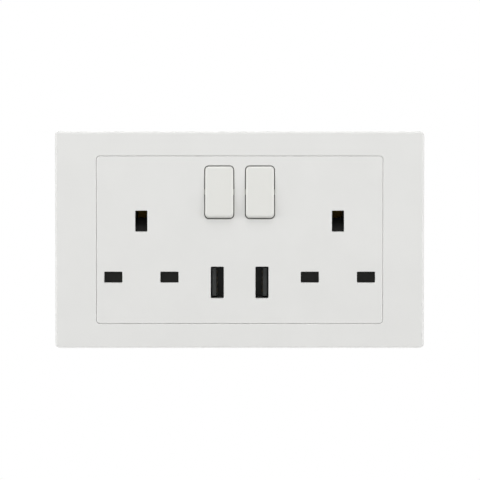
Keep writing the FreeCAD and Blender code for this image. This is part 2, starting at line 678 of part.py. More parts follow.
def make_rocker(name, side):
    rocker = new_body(name)
    section = sketch_on(rocker, "YZ", s.rocker_width / -2)
    reach, rise, back = s.rocker_reach.value, face_rise.value, s.rocker_back.value
    face_end = math.sqrt(reach**2 - rise**2)
    back_end = math.sqrt(reach**2 - back**2)
    circle = Part.Circle(Vector(0, 0, 0), Vector(0, 0, 1), reach)
    face_angle = math.atan2(face_end, -rise)
    back_angle = math.atan2(back_end, back)
    face = section.addGeometry(Part.LineSegment(Vector(-rise, face_end, 0), Vector(-rise, -face_end, 0)))
    low = section.addGeometry(Part.ArcOfCircle(circle, 2 * math.pi - face_angle, 2 * math.pi - back_angle))
    rim = section.addGeometry(Part.LineSegment(Vector(back, -back_end, 0), Vector(back, back_end, 0)))
    high = section.addGeometry(Part.ArcOfCircle(circle, back_angle, face_angle))
    for first, second in ((face, low), (low, rim), (rim, high), (high, face)):
        section.addConstraint(Sketcher.Constraint("Coincident", first, 2, second, 1))
    for arc in (low, high):
        section.addConstraint(Sketcher.Constraint("Coincident", arc, 3, -1, 1))
    section.addConstraint(Sketcher.Constraint("Vertical", face))
    section.addConstraint(Sketcher.Constraint("Vertical", rim))
    hold_radius(section, low, s.rocker_reach)
    hold(section, "DistanceX", face, 1, -face_rise)
    hold(section, "DistanceX", rim, 1, s.rocker_back)
    pad(rocker, section, s.rocker_width)

    def is_end_corner(edge):
        curve = edge.Curve
        return isinstance(curve, Part.Circle) and abs(curve.Radius - reach) < 1e-6

    fillet(rocker, s.rocker_corner, is_end_corner)
    fillet(rocker, s.rocker_edge, lambda edge: at_height(edge, face_rise))
    inside = face_rise - s.rocker_wall
    hollow_height = (s.rocker_reach - s.rocker_wall * 1.5) * 2
    well(
        rocker,
        -s.rocker_back,
        inside,
        centred_box,
        zero,
        zero,
        s.rocker_width - s.rocker_wall * 2,
        hollow_height,
    )
    slab(rocker, -s.stem_length, inside + s.rocker_wall / 4, disc, zero, zero, s.stem_width)
    well(rocker, -s.stem_length, s.stem_bore_top, disc, zero, zero, s.stem_bore)
    for start in (s.rocker_width / -2 - s.trunnion_length, s.rocker_width / 2 - s.rocker_wall / 2):
        trunnion = sketch_on(rocker, "YZ", start)
        disc(trunnion, zero, zero, s.trunnion_width)
        pad(rocker, trunnion, s.trunnion_length + s.rocker_wall / 2)
    set_at_pivot(rocker, side)
    return rocker


def set_at_pivot(piece, side):
    """Stands a piece of the switch at its pivot, tilted to the off position."""
    turn(piece, Vector(-1, 0, 0), s.rocker_throw / 2)
    place(piece, rocker_x[side], -pivot_height, s.rocker_centre)


def make_plunger(name, side):
    plunger = new_body(name)
    slab(
        plunger,
        -plunger_tip,
        s.plunger_length - plunger_tip,
        disc,
        zero,
        zero,
        s.stem_bore - s.plunger_play * 2,
    )
    fillet(plunger, s.plunger_round, lambda edge: at_height(edge, -plunger_tip))
    set_at_pivot(plunger, side)
    return plunger


def make_plunger_spring(name, side):
    spring = new_body(name)
    outer = s.stem_bore - s.plunger_spring_play * 2
    back = s.plunger_length - plunger_tip
    slab(spring, back, s.stem_bore_top, disc, zero, zero, outer)
    well(spring, back, s.stem_bore_top, disc, zero, zero, outer - s.plunger_spring_wall * 2)
    set_at_pivot(spring, side)
    return spring


# Moving contacts: see-saws that lie on the fulcrums of the live feed
def make_moving_contact(name, side):
    seesaw = new_body(name)
    front_face = seesaw_back + s.strip_thick
    slab(seesaw, seesaw_back, front_face, centred_box, zero, zero, s.seesaw_width, s.seesaw_length)
    for start in (s.seesaw_width / -2 - s.seesaw_ear, s.seesaw_width / 2):
        side_pad(
            seesaw,
            start,
            start + s.seesaw_ear,
            [
                (s.fulcrum_radius / -2, s.fulcrum_radius * -2),
                (front_face, s.fulcrum_radius * -2),
                (front_face, s.fulcrum_radius * 2),
                (s.fulcrum_radius / -2, s.fulcrum_radius * 2),
            ],
        )
    set_at_fulcrum(seesaw, side)
    return seesaw


def make_moving_button(name, side):
    button = new_body(name)
    back = seesaw_back - s.moving_button_height
    slab(button, back, seesaw_back, disc, zero, s.button_reach, s.button_width)
    set_at_fulcrum(button, side)
    return button


def set_at_fulcrum(piece, side):
    """Lays a piece of the moving contact on its fulcrum, with the contact open."""
    turn(piece, Vector(1, 0, 0), s.seesaw_tilt / 2)
    place(piece, rocker_x[side], seesaw_axis, s.rocker_centre)


for word, side in (("left", LEFT), ("right", RIGHT)):
    nodes[f"{word}_rocker"] = make_rocker(f"{word}_rocker", side)
    nodes[f"{word}_plunger"] = make_plunger(f"{word}_plunger", side)
    nodes[f"{word}_plunger_spring"] = make_plunger_spring(f"{word}_plunger_spring", side)
    nodes[f"{word}_moving_contact"] = make_moving_contact(f"{word}_moving_contact", side)
    nodes[f"{word}_moving_button"] = make_moving_button(f"{word}_moving_button", side)


# Shutters: two wings behind the live and neutral slots, and a ramp behind the earth slot
def make_shutter(name, side):
    shutter = new_body(name)
    wing_reach = (s.pin_pitch + s.live_slot_width) / 2 + s.shutter_cover
    slab(shutter, shutter_back, shutter_front, box_outline, -wing_reach, wing_reach, wing_low, wing_top)
    ramp_low = earth_centre - s.earth_slot_height / 2
    stem = [
        (shutter_back, -s.pin_row),
        (shutter_front, -s.pin_row),
        (shutter_front, ramp_low),
        (shutter_back, ramp_low + s.shutter_travel),
    ]
    side_pad(shutter, s.shutter_stem / -2, s.shutter_stem / 2, stem)
    spigot = sketch_on(shutter, "XY", wing_low - s.spring_post_length)
    disc(spigot, zero, -shutter_middle, s.spring_post_width)
    pad(shutter, spigot, s.spring_post_length + s.shutter_cover)
    place(shutter, socket_centre(side), zero, zero)
    return shutter


def make_shutter_spring(name, side):
    spring = new_body(name)
    foot = cavity_height / -2
    inner = s.spring_post_width + s.shutter_spring_play * 2
    sleeve = sketch_on(spring, "XY", foot)
    disc(sleeve, zero, -shutter_middle, inner + s.shutter_spring_wall * 2)
    disc(sleeve, zero, -shutter_middle, inner)
    pad(spring, sleeve, wing_low - foot)
    place(spring, socket_centre(side), zero, zero)
    return spring


for word, side in (("left", LEFT), ("right", RIGHT)):
    nodes[f"{word}_shutter"] = make_shutter(f"{word}_shutter", side)
    nodes[f"{word}_shutter_spring"] = make_shutter_spring(f"{word}_shutter_spring", side)

# Middle plate: closes the shutter chamber and keeps the trunnions in their bearings
middle = new_body("middle_plate")
middle_width = inner_width - s.middle_play * 2
middle_height = inner_height - s.middle_play * 2
middle_corner = s.housing_corner - s.housing_wall
slab(middle, middle_back, s.middle_front, round_box, zero, zero, middle_width, middle_height, middle_corner)
play = s.pin_play * 2
line_hole = (s.line_pin_width + play, s.pin_thick + play)
earth_hole = (s.pin_thick + play, s.earth_pin_height + play)
line_holes = [(x, z, *line_hole) for x, z, _, _ in slots["live"]]
earth_holes = [(x, z, *earth_hole) for x, z, _, _ in slots["earth"]]
well(middle, middle_back, s.middle_front, each, centred_box, line_holes + earth_holes)
stem_holes = [
    (rocker_x[side], s.rocker_centre, s.stem_hole_width, s.stem_hole_height) for side in (LEFT, RIGHT)
]
can_width = s.usb_inner_width + s.usb_can_wall * 2
can_height = s.usb_inner_height + s.usb_can_wall * 2
can_play = s.usb_can_play * 2
can_hole = (can_width + can_play, can_height + can_play)
can_holes = [(usb_x[side], -s.usb_drop, *can_hole) for side in (LEFT, RIGHT)]
well(middle, middle_back, s.middle_front, each, centred_box, stem_holes + can_holes)
screw_hole = s.screw_width + s.screw_play * 2
well(middle, middle_back, s.middle_front, each, disc, [(x, z, screw_hole) for x, z in screw_points])
keeper_front = pivot_height - s.trunnion_width / 2 - s.trunnion_play
keeper_low = s.rocker_centre - s.keeper_height / 2
keeper_high = s.rocker_centre + s.keeper_height / 2
keeper_x = rocker_x[RIGHT] + s.rocker_width / 2 + s.rocker_side_gap
keeper_end = keeper_x + s.trunnion_length - s.rocker_side_gap - s.trunnion_play
keeper_web = rocker_x[RIGHT] - s.rocker_width / 2 - s.rocker_side_gap
keepers = [
    (-keeper_web, keeper_web, keeper_low, keeper_high),
    (keeper_x, keeper_end, keeper_low, keeper_high),
    (-keeper_end, -keeper_x, keeper_low, keeper_high),
]
slab(middle, s.middle_front, keeper_front, each, box_outline, keepers)
nodes["middle_plate"] = middle

# Terminals: which strip each one meets, and the edge its wire comes in from
terminal_points = {
    "live_terminal": (zero, 1, s.live_plane),
    "neutral_terminal": (neutral_terminal_x, -1, s.neutral_plane),
    "left_earth_terminal": (s.earth_terminal_spacing / -2, 1, s.earth_plane),
    "right_earth_terminal": (s.earth_terminal_spacing / 2, 1, s.earth_plane),
}
terminal_outer = housing_height / 2 - s.terminal_inset
terminal_inner = terminal_outer - s.terminal_height
terminal_middle = (terminal_outer + terminal_inner) / 2


def well_floor_front(plane):
    return -plane - s.strip_thick - s.strip_clearance


def tail_z(level):
    """A terminal's tail meets its strip near the terminal's inner end above, and its outer end below."""
    return (terminal_inner + s.terminal_tail) if level > 0 else s.terminal_tail / 2 - terminal_outer


# Rear housing: a deep tray with four screw columns and four terminal wells
housing = new_body("rear_housing")
back = -s.housing_depth
slab(housing, back, s.housing_rim, round_box, zero, zero, housing_width, housing_height, s.housing_corner)
fillet(housing, s.housing_edge, lambda edge: at_height(edge, back))
housing_floor = s.housing_wall - s.housing_depth
inner_corner = s.housing_corner - s.housing_wall
well(housing, housing_floor, s.housing_rim, round_box, zero, zero, inner_width, inner_height, inner_corner)
# The outer pin of each plug takes a shallow recess in the side wall
well(housing, -s.pin_reach, s.housing_rim, each, centred_box, line_holes)
column_foot = housing_floor - s.housing_wall / 2
slab(housing, column_foot, middle_back, each, disc, [(x, z, s.column_width) for x, z in screw_points])
well(housing, back, middle_back, each, disc, [(x, z, screw_hole) for x, z in screw_points])
head_hole = s.screw_head + s.screw_head_play * 2
well(housing, back, -s.screw_seat, each, disc, [(x, z, head_hole) for x, z in screw_points])
room = s.terminal_width / 2 + s.well_play
for x, level, plane in terminal_points.values():
    front_of_floor = well_floor_front(plane)
    inner_end = terminal_inner - s.well_play - s.well_wall
    outer_end = inner_height / 2 + s.housing_wall / 2
    low, high = sorted([inner_end * level, outer_end * level], key=lambda end: end.value)
    walls = (x - room - s.well_wall, x + room + s.well_wall, low, high)
    slab(housing, column_foot, front_of_floor, box_outline, *walls)
for x, level, plane in terminal_points.values():
    floor = well_floor_front(plane) - s.well_floor
    ends = [(terminal_inner - s.well_play) * level, (housing_height / 2 + OVERRUN) * level]
    low, high = sorted(ends, key=lambda end: end.value)
    well(housing, back, floor, box_outline, x - room, x + room, low, high)
    tail_hole = s.terminal_tail + s.tail_play * 2
    well(housing, floor, floor + s.well_floor, disc, x, tail_z(level), tail_hole)
nodes["rear_housing"] = housing


# Housing screws, from the back through the columns into the bosses
def make_screw(name, x, z):
    screw = new_body(name)
    head_back = -s.screw_seat - s.screw_head_height
    slab(screw, head_back, -s.screw_seat, disc, x, z, s.screw_head)
    slab(screw, -s.screw_seat, s.screw_length - s.screw_seat, disc, x, z, s.screw_width)
    arms = [(x, z, s.recess_length, s.recess_width), (x, z, s.recess_width, s.recess_length)]
    for arm in arms:
        well(screw, head_back, head_back + s.recess_depth, centred_box, *arm)
    return screw


screws = [make_screw(f"housing_screw_{i}", x, z) for i, (x, z) in enumerate(screw_points, 1)]
nodes["housing_screws"] = group("housing_screws", screws)


# Contacts: a fork with flared jaws, whose closed end is part of a strip
def fork(middle_point, plane):
    """Outline of a fork, as depth behind the wall and distance across the jaws."""
    inner = s.contact_grip / 2
    outer = inner + s.strip_thick
    mouth = s.contact_mouth
    neck = mouth + s.contact_flare_length
    end = plane + s.strip_thick
    half = [
        (plane, inner),
        (neck, inner),
        (mouth, inner + s.contact_flare),
        (mouth, outer + s.contact_flare),
        (neck, outer),
        (end, outer),
    ]
    lower = [(depth, middle_point - across) for depth, across in half]
    upper = [(depth, middle_point + across) for depth, across in reversed(half)]
    return lower + upper


def pin_contact(body, x, plane):
    sketch = sketch_on(body, "YZ", x - s.contact_width / 2)
    polygon(sketch, fork(-s.pin_row, plane))
    pad(body, sketch, s.contact_width)


def strip(body, plane, draw, *outline):
    slab(body, -plane - s.strip_thick, -plane, draw, *outline)


half_strip = s.strip_width / 2
contact_low = -s.pin_row - s.contact_grip / 2 - s.strip_thick

neutral_bar = new_body("neutral_bar")
left_pin, right_pin = neutral_x(LEFT), neutral_x(RIGHT)
run_low, run_high = -s.neutral_run - half_strip, half_strip - s.neutral_run
step_low, step_high = -s.neutral_step - half_strip, half_strip - s.neutral_step
turn_outer, turn_inner = s.neutral_turn + half_strip, s.neutral_turn - half_strip
tail_x = neutral_terminal_x
strip(
    neutral_bar,
    s.neutral_plane,
    polygon,
    [
        (left_pin - half_strip, step_low),
        (tail_x - half_strip, step_low),
        (tail_x - half_strip, -terminal_outer),
        (tail_x + half_strip, -terminal_outer),
        (tail_x + half_strip, step_low),
        (-turn_outer, step_low),
        (-turn_outer, run_low),
        (turn_outer, run_low),
        (turn_outer, step_low),
        (right_pin + half_strip, step_low),
        (right_pin + half_strip, -s.pin_row),
        (right_pin - half_strip, -s.pin_row),
        (right_pin - half_strip, step_high),
        (turn_inner, step_high),
        (turn_inner, run_high),
        (-turn_inner, run_high),
        (-turn_inner, step_high),
        (left_pin + half_strip, step_high),
        (left_pin + half_strip, -s.pin_row),
        (left_pin - half_strip, -s.pin_row),
    ],
)
for pin in (left_pin, right_pin):
    pin_contact(neutral_bar, pin, s.neutral_plane)
nodes["neutral_bar"] = neutral_bar

earth_bar = new_body("earth_bar")
half_earth = s.earth_strip_width / 2
branch = s.earth_terminal_spacing / 2
branch_top = terminal_inner + s.terminal_tail * 2
reach = socket_pitch / 2 + s.contact_grip / 2 + s.strip_thick
earth_low, earth_high = s.earth_run - half_earth, s.earth_run + half_earth
strip(
    earth_bar,
    s.earth_plane,
    polygon,
    [
        (-reach, earth_low),
        (reach, earth_low),
        (reach, earth_high),
        (branch + half_earth, earth_high),
        (branch + half_earth, branch_top),
        (branch - half_earth, branch_top),
        (branch - half_earth, earth_high),
        (-branch + half_earth, earth_high),
        (-branch + half_earth, branch_top),
        (-branch - half_earth, branch_top),
        (-branch - half_earth, earth_high),
        (-reach, earth_high),
    ],
)
for side in (LEFT, RIGHT):
    jaws = sketch_on(earth_bar, "XY", earth_centre - s.earth_contact_width / 2)
    polygon(jaws, [(across, depth) for depth, across in fork(socket_centre(side), s.earth_plane)])
    pad(earth_bar, jaws, s.earth_contact_width)
nodes["earth_bar"] = earth_bar

feed = new_body("live_feed_bar")
feed_reach = rocker_x[RIGHT] + s.fulcrum_width / 2
feed_low, feed_high = s.rocker_centre - half_strip, s.rocker_centre + half_strip
feed_top = terminal_inner + s.terminal_tail * 2
strip(
    feed,
    s.live_plane,
    polygon,
    [
        (-feed_reach, feed_low),
        (-half_strip, feed_low),
        (-half_strip, -s.feed_tail_end),
        (half_strip, -s.feed_tail_end),
        (half_strip, feed_low),
        (feed_reach, feed_low),
        (feed_reach, feed_high),
        (s.strip_width, feed_high),
        (s.strip_width, feed_top),
        (-s.strip_width, feed_top),
        (-s.strip_width, feed_high),
        (-feed_reach, feed_high),
    ],
)
fulcrum_foot = (s.fulcrum_width, s.fulcrum_radius * 2)
fulcrums = [(rocker_x[side], s.rocker_centre, *fulcrum_foot) for side in (LEFT, RIGHT)]
slab(feed, -s.live_plane, -seesaw_axis, each, centred_box, fulcrums)
for side in (LEFT, RIGHT):
    ridge = sketch_on(feed, "YZ", rocker_x[side] - s.fulcrum_width / 2)
    disc(ridge, seesaw_axis, s.rocker_centre, s.fulcrum_radius * 2)
    pad(feed, ridge, s.fulcrum_width)
nodes["live_feed_bar"] = feed


def make_live_strip(name, side):
    bar = new_body(name)
    button_z = s.rocker_centre + s.button_reach
    pad_half = s.seesaw_width / 2
    near = (s.live_turn - half_strip) * side
    far = (s.live_turn + half_strip) * side
    pin = live_x(side)
    beyond, before = pin + half_strip * side, pin - half_strip * side
    strip(
        bar,
        s.live_plane,
        polygon,
        [
            (rocker_x[side] - pad_half * side, button_z + pad_half),
            (far, button_z + pad_half),
            (far, s.live_run + half_strip),
            (beyond, s.live_run + half_strip),
            (beyond, contact_low),
            (before, contact_low),
            (before, s.live_run - half_strip),
            (near, s.live_run - half_strip),
            (near, button_z - pad_half),
            (rocker_x[side] - pad_half * side, button_z - pad_half),
        ],
    )
    pin_contact(bar, pin, s.live_plane)
    return bar


def make_fixed_button(name, side):
    button = new_body(name)
    front_face = s.fixed_button_height - s.live_plane
    middle_point = (rocker_x[side], s.rocker_centre + s.button_reach)
    slab(button, -s.live_plane, front_face, disc, *middle_point, s.button_width)
    return button


for word, side in (("left", LEFT), ("right", RIGHT)):
    nodes[f"{word}_live_strip"] = make_live_strip(f"{word}_live_strip", side)
    nodes[f"{word}_fixed_button"] = make_fixed_button(f"{word}_fixed_button", side)


# Terminals with their wire holes, tails and screws
def make_terminal(name, x, level, plane):
    terminal = new_body(name)
    block_front = well_floor_front(plane) - s.well_floor
    block_back = block_front - s.terminal_depth
    block_middle = (block_front + block_back) / 2
    outline = (x, terminal_middle * level, s.terminal_width, s.terminal_height)
    slab(terminal, block_back, block_front, centred_box, *outline)
    slab(terminal, block_front, -plane - s.strip_thick, disc, x, tail_z(level), s.terminal_tail)
    bore = sketch_on(terminal, "XY", (terminal_middle * level) + s.terminal_height / 2)
    disc(bore, x, -block_middle, s.wire_bore)
    pocket(terminal, bore, s.terminal_height)
    screw_bore = s.terminal_screw + s.terminal_screw_play * 2
    well(terminal, block_back, block_middle, disc, x, terminal_middle * level, screw_bore)
    return terminal


def make_terminal_screw(name, x, level, plane):
    screw = new_body(name)
    block_back = well_floor_front(plane) - s.well_floor - s.terminal_depth
    wall = (s.terminal_depth - s.wire_bore) / 2
    head_front = block_back - s.terminal_head_gap
    head_back = head_front - s.terminal_head_height
    middle_point = (x, terminal_middle * level)
    slab(screw, head_back, head_front, disc, *middle_point, s.terminal_screw_head)
    slab(screw, head_front, block_back + wall, disc, *middle_point, s.terminal_screw)
    slot_outline = (*middle_point, s.terminal_screw_head + OVERRUN, s.driver_slot)
    well(screw, head_back, head_back + s.recess_depth, centred_box, *slot_outline)
    return screw


terminal_screws = []
for name, (x, level, plane) in terminal_points.items():
    nodes[name] = make_terminal(name, x, level, plane)
    terminal_screws.append(make_terminal_screw(f"{name}_screw", x, level, plane))
nodes["terminal_screws"] = group("terminal_screws", terminal_screws)

# Charging ports: cans, tongues and contacts, drawn for the left port and turned over for the right
tongue_back = s.usb_tongue_gap - s.usb_inner_width / 2
tongue_face = tongue_back + s.usb_tongue_thick
tongue_tip = can_front - s.usb_tongue_inset
base_front = s.usb_base - s.board_front
contact_rows = [s.usb_contact_outer * -1, s.usb_contact_inner * -1, s.usb_contact_inner, s.usb_contact_outer]


def set_at_port(piece, side):
    turn(piece, Vector(0, 1, 0), Size("180", 180.0) if side == RIGHT else zero)
    place(piece, usb_x[side], zero, -s.usb_drop)


def make_can(name, side):
    can = new_body(name)
    corner = s.usb_mouth_corner + s.usb_can_wall
    slab(can, -s.board_front, can_front, round_box, zero, zero, can_width, can_height, corner)
    inside = (zero, zero, s.usb_inner_width, s.usb_inner_height)
    well(can, -s.board_front, can_front, round_box, *inside, s.usb_mouth_corner)
    set_at_port(can, side)
    return can


def make_tongue(name, side):
    tongue = new_body(name)
    play = s.usb_base_play * 2
    block = (zero, zero, s.usb_inner_width - play, s.usb_inner_height - play)
    slab(tongue, -s.board_front, base_front, round_box, *block, s.usb_mouth_corner)
    half_width = s.usb_tongue_width / 2
    slab(tongue, base_front, tongue_tip, box_outline, tongue_back, tongue_face, -half_width, half_width)
    bevel = sketch_on(tongue, "XY", half_width)
    bevel_back = tongue_tip - s.usb_tongue_bevel * 2
    bevel_side = tongue_face - s.usb_tongue_bevel
    polygon(bevel, [(bevel_side, -tongue_tip), (tongue_face, -tongue_tip), (tongue_face, -bevel_back)])
    pocket(tongue, bevel, s.usb_tongue_width)
    floor = tongue_face - s.usb_contact_sink - s.usb_contact_play
    top = tongue_face - s.usb_contact_sink + s.usb_contact_thick + s.usb_contact_play
    half_slot = s.usb_contact_width / 2 + s.usb_contact_play
    grooves = [(floor, top, z - half_slot, z + half_slot) for z in contact_rows]
    groove_tip = tongue_tip - s.usb_contact_inset + s.usb_contact_play
    well(tongue, -s.board_front, groove_tip, each, box_outline, grooves)
    set_at_port(tongue, side)
    return tongue


def make_usb_contacts(name, side):
    blades = []
    for i, z in enumerate(contact_rows, 1):
        blade = doc.addObject("Part::Box", f"{name}_{i}")
        left = tongue_face - s.usb_contact_sink
        tip = tongue_tip - s.usb_contact_inset
        bind(blade, "Length", s.usb_contact_thick)
        bind(blade, "Width", tip + board_back)
        bind(blade, "Height", s.usb_contact_width)
        place(blade, left, -tip, z - s.usb_contact_width / 2)
        blades.append(blade)
    contacts = group(name, blades)
    set_at_port(contacts, side)
    return contacts


for word, side in (("left", LEFT), ("right", RIGHT)):
    nodes[f"{word}_usb_can"] = make_can(f"{word}_usb_can", side)
    nodes[f"{word}_usb_tongue"] = make_tongue(f"{word}_usb_tongue", side)
    nodes[f"{word}_usb_contacts"] = make_usb_contacts(f"{word}_usb_contacts", side)

# Charger board and the parts on it
board = new_body("usb_board")
half_board = s.board_width / 2
board_edges = (-half_board, half_board, -s.board_bottom, -s.board_top)
slab(board, -board_back, -s.board_front, box_outline, *board_edges)
contact_middle = tongue_face - s.usb_contact_sink + s.usb_contact_thick / 2
holes = []
for side in (LEFT, RIGHT):
    for z in contact_rows:
        x = usb_x[side] - contact_middle * side
        wide = s.usb_contact_thick + s.board_hole_play * 2
        tall = s.usb_contact_width + s.board_hole_play * 2
        holes.append((x, z - s.usb_drop, wide, tall))
well(board, -board_back, -s.board_front, each, centred_box, holes)
nodes["usb_board"] = board

chip = new_body("usb_chip")
slab(
    chip,
    -s.board_front,
    s.chip_thick - s.board_front,
    centred_box,
    zero,
    -s.usb_drop,
    s.chip_width,
    s.chip_height,
)
nodes["usb_chip"] = chip

coil = new_body("transformer_coil")
coil_point = (-s.transformer_left, -s.transformer_drop)
coil_height = s.core_height - s.core_leg
core_back = (s.coil_depth + s.core_depth) / 2
core_front = (s.coil_depth - s.core_depth) / 2
slab(coil, -board_back - s.coil_depth, -board_back, centred_box, *coil_point, s.coil_width, coil_height)
nodes["transformer_coil"] = coil

core = new_body("transformer_core")
outline = (*coil_point, s.core_width, s.core_height)
slab(core, -board_back - core_back, -board_back - core_front, centred_box, *outline)
window = (*coil_point, s.coil_width, coil_height)
well(core, -board_back - core_back, -board_back - core_front, centred_box, *window)
nodes["transformer_core"] = core


def make_capacitor(name, drop, width, length):
    capacitor = new_body(name)
    slab(capacitor, -board_back - length, -board_back, disc, s.capacitor_right, -drop, width)
    fillet(capacitor, width / 12, lambda edge: at_height(edge, -board_back - length))
    return capacitor


nodes["input_capacitor"] = make_capacitor(
    "input_capacitor", s.input_can_drop, s.input_can_width, s.input_can_length
)
nodes["output_capacitor"] = make_capacitor(
    "output_capacitor", s.output_can_drop, s.output_can_width, s.output_can_length
)

live_pin = new_body("board_live_pin")
slab(live_pin, -s.live_plane, -board_back, disc, zero, -s.live_pin_drop, s.live_pin_width)
nodes["board_live_pin"] = live_pin

doc.recompute()
for item in doc.Objects:
    if "Invalid" in item.State or "Error" in item.State:
        raise RuntimeError(f"{item.Name} did not build: {item.State}")
os.makedirs("parts", exist_ok=True)
for name, node in nodes.items():
    shape = node.Shape
    if shape.isNull() or not shape.isValid() or not shape.Solids:
        raise RuntimeError(f"{name} has no valid solid")
    shape.exportStep(f"parts/{name}.step")
    box = shape.BoundBox
    print(
        f"{name}: {len(shape.Solids)} solid, {shape.Volume:.1f} mm3, "
        f"x {box.XMin:.2f} {box.XMax:.2f}, y {box.YMin:.2f} {box.YMax:.2f}, z {box.ZMin:.2f} {box.ZMax:.2f}"
    )
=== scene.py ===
import json
import math

import bpy
from mathutils import Matrix, Vector

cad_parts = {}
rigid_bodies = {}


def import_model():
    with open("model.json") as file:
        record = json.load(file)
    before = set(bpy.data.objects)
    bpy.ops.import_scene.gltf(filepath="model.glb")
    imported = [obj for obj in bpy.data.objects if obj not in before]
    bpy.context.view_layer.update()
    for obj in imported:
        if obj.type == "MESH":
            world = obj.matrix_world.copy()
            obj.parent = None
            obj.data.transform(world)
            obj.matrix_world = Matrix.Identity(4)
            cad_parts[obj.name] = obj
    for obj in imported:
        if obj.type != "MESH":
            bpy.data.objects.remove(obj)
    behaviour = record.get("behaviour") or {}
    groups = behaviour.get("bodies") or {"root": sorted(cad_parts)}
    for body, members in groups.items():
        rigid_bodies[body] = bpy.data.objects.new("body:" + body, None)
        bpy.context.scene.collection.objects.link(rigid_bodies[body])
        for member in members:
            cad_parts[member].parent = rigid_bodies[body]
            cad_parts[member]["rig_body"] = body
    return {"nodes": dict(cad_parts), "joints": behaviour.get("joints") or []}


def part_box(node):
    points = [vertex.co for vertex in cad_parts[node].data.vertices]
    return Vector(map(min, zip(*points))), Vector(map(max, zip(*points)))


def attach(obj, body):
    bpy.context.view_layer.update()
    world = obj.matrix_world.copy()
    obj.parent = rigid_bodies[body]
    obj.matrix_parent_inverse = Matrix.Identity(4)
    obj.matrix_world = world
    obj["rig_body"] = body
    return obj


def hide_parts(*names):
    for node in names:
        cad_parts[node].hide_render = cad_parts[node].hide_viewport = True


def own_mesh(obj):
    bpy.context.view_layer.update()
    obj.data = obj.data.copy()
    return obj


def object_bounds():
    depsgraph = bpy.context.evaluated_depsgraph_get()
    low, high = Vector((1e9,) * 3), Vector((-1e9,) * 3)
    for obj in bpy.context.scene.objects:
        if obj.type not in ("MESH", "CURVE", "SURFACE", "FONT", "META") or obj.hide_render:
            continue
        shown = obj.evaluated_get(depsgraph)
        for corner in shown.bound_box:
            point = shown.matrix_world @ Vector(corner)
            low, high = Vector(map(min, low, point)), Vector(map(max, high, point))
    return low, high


# Twin switched socket with two USB ports: finishes, wound springs, terminal letters, light and camera.
# The socket's own sizes are in millimetres, and MM turns them to metres.
# X runs right, Z up and Y into the wall.

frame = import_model()
cad_box = [list(corner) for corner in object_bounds()]
nodes = frame["nodes"]
joints = {joint["name"]: joint for joint in frame["joints"]}
MM = 0.001
BOTH = ("left", "right")


def in_scene(name, data):
    """A new object of this data, put in the scene."""
    thing = bpy.data.objects.new(name, data)
    bpy.context.scene.collection.objects.link(thing)
    return thing


# Finishes

BAND_RADIANS = 20  # what a band pattern turns through in one unit, at scale 1


def linear(hex_colour):
    """An sRGB hex value as linear red, green, blue and alpha."""
    levels = [int(hex_colour[i : i + 2], 16) / 255 for i in (1, 3, 5)]
    return [v / 12.92 if v <= 0.04045 else ((v + 0.055) / 1.055) ** 2.4 for v in levels] + [1.0]


def per_metre(size):
    """Texture scale of a pattern whose marks are this many millimetres across."""
    return 1 / (size * MM)


def bands_per_metre(spacing):
    """Texture scale of a band pattern that repeats after this many millimetres."""
    return per_metre(spacing) / BAND_RADIANS * math.tau


def add(tree, kind, settings=None, links=None):
    """Adds a node, gives it its settings and links its inputs to (node, output) pairs."""
    node = tree.nodes.new(kind)
    for name, value in (settings or {}).items():
        if name == "stops":
            for element, (position, colour) in zip(node.color_ramp.elements, value):
                element.position, element.color = position, colour
        elif isinstance(name, int) or name in node.inputs:
            node.inputs[name].default_value = value
        else:
            setattr(node, name, value)
    for name, (source, output) in (links or {}).items():
        tree.links.new(source.outputs[output], node.inputs[name])
    return node


def blank(name):
    """A new material, its node tree, emptied, and the coordinates that its patterns lie in."""
    material = bpy.data.materials.new(name)
    material.use_nodes = True
    tree = material.node_tree
    tree.nodes.clear()
    return material, tree, add(tree, "ShaderNodeTexCoord")


def moulded(name, shades, cloud, gloss, peel, peel_height, ior, mirror=0.5):
    """A moulded plastic: pigment that clouds softly between two shades, and the fine skin that
    the tool left. cloud, peel and peel_height are in millimetres, gloss is the range of roughness,
    and mirror is the share of reflection, a half where nothing dulls the surface."""
    dark, light = shades
    material, tree, place = blank(name)
    clouds = add(
        tree,
        "ShaderNodeTexNoise",
        {"Scale": per_metre(cloud), "Detail": 3.0},
        {"Vector": (place, "Object")},
    )
    pigment = add(
        tree,
        "ShaderNodeValToRGB",
        {"stops": [(0.35, linear(dark)), (0.65, linear(light))]},
        {"Fac": (clouds, "Fac")},
    )
    skin = add(
        tree,
        "ShaderNodeTexNoise",
        {"Scale": per_metre(peel), "Detail": 2.0},
        {"Vector": (place, "Object")},
    )
    shine = add(
        tree,
        "ShaderNodeMapRange",
        {"To Min": gloss[0], "To Max": gloss[1]},
        {"Value": (skin, "Fac")},
    )
    bump = add(tree, "ShaderNodeBump", {"Distance": peel_height * MM}, {"Height": (skin, "Fac")})
    surface = add(
        tree,
        "ShaderNodeBsdfPrincipled",
        {"IOR": ior, "Specular IOR Level": mirror},
        {"Base Color": (pigment, "Color"), "Roughness": (shine, "Result"), "Normal": (bump, "Normal")},
    )
    add(tree, "ShaderNodeOutputMaterial", links={"Surface": (surface, "BSDF")})
    return material


